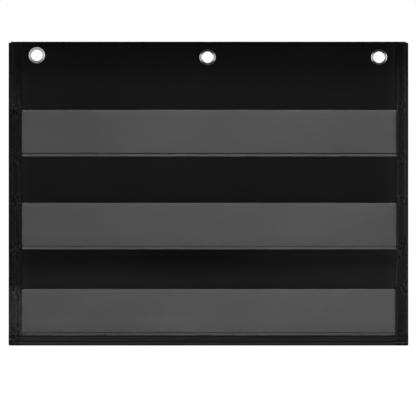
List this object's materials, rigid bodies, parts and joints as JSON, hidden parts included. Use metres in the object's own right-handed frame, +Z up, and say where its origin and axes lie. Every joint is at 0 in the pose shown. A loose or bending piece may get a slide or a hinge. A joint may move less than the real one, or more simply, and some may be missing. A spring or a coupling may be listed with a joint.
{
  "type": "hanging pocket chart",
  "caption": "Flat black cloth wall chart with full-width clear film pockets open at the top, folded tape edging and metal grommets along a doubled header.",
  "frame": {"origin": "centre of the middle grommet's bore, halfway through the doubled header", "axes": "+X to the right along the top edge as seen from the front, +Z up, and the pockets face -Y with the wall on the +Y side"},
  "size_m": [0.4318, 0.0111, 0.3283],
  "materials": {
    "backing_cloth": "matt black coated plain-weave cloth",
    "pocket_film": "soft clear vinyl film with a light haze",
    "binding_tape": "black woven tape, folded and stitched",
    "grommet_metal": "bright nickel plate"
  },
  "bodies": {
    "root": {"backing_panel": "backing_cloth", "pocket_film_top": "pocket_film", "pocket_film_middle": "pocket_film", "pocket_film_bottom": "pocket_film", "side_binding_left": "binding_tape", "side_binding_right": "binding_tape", "bottom_binding": "binding_tape", "grommet_left": "grommet_metal", "grommet_middle": "grommet_metal", "grommet_right": "grommet_metal", "grommet_washer_left": "grommet_metal", "grommet_washer_middle": "grommet_metal", "grommet_washer_right": "grommet_metal"}
  },
  "joints": []
}
